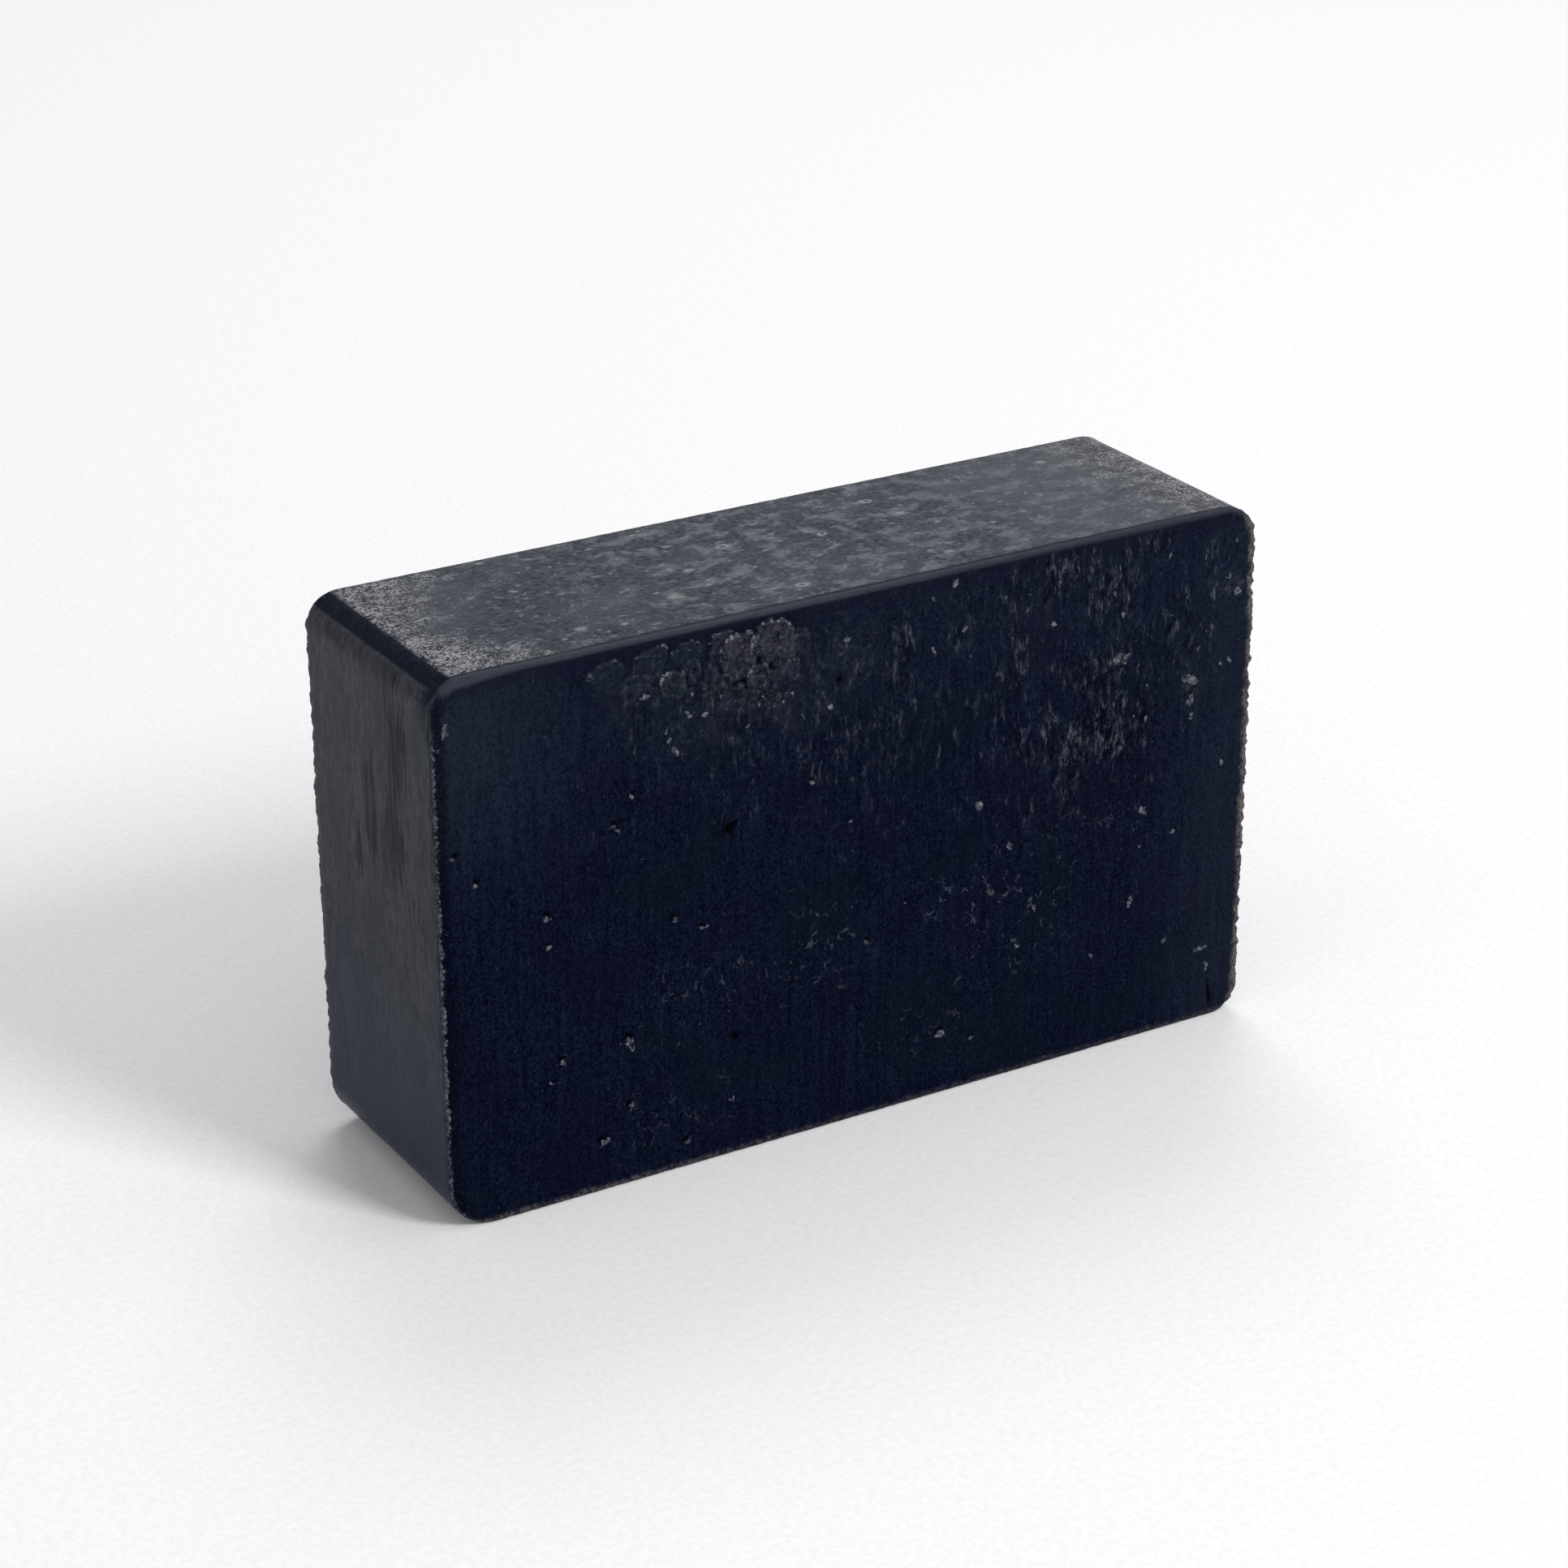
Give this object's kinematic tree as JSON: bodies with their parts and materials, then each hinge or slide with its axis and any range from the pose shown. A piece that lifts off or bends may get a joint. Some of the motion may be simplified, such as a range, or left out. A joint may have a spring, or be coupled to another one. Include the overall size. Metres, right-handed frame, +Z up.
{
  "type": "charcoal bar",
  "caption": "Chunky rectangular bar of black charcoal with rounded moulded edges and flat wire-cut broad faces, standing on its long narrow side.",
  "frame": {"origin": "centre of the base that the bar stands on, which is the bottom centre of its box", "axes": "+Z up, +X along the bar's length towards its right-hand end, +Y through its thickness from the front cut face to the back cut face"},
  "size_m": [0.09, 0.026, 0.055],
  "materials": {
    "charcoal": "matte"
  },
  "bodies": {
    "root": {"bar": "charcoal"}
  },
  "joints": []
}
